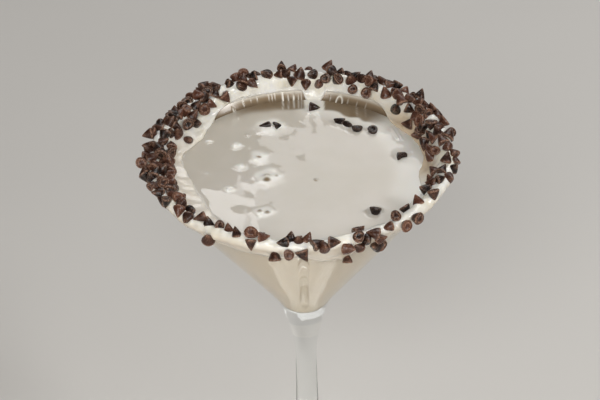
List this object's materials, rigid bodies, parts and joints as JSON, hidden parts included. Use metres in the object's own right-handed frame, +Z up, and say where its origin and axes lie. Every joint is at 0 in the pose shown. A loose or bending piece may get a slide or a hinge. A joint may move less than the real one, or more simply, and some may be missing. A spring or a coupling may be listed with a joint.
{
  "type": "martini cocktail",
  "caption": "Creamy white martini in a stemmed conical glass, its rim dipped in white icing and rolled in mini chocolate chips, with a few chips afloat on the drink.",
  "frame": {"origin": "centre of the flat underside of the foot", "axes": "+Z up along the stem; -Y towards the viewer of the picture; +X to that viewer's right"},
  "size_m": [0.1251, 0.1257, 0.1833],
  "materials": {
    "glass": "clear, polished",
    "drink": "opaque creamy liquid, wet gloss",
    "icing": "wet white icing, soft gloss",
    "chocolate": "dark chocolate, satin"
  },
  "bodies": {
    "root": {"glass": "glass", "drink": "drink", "iced_rim": "icing"}
  },
  "joints": []
}
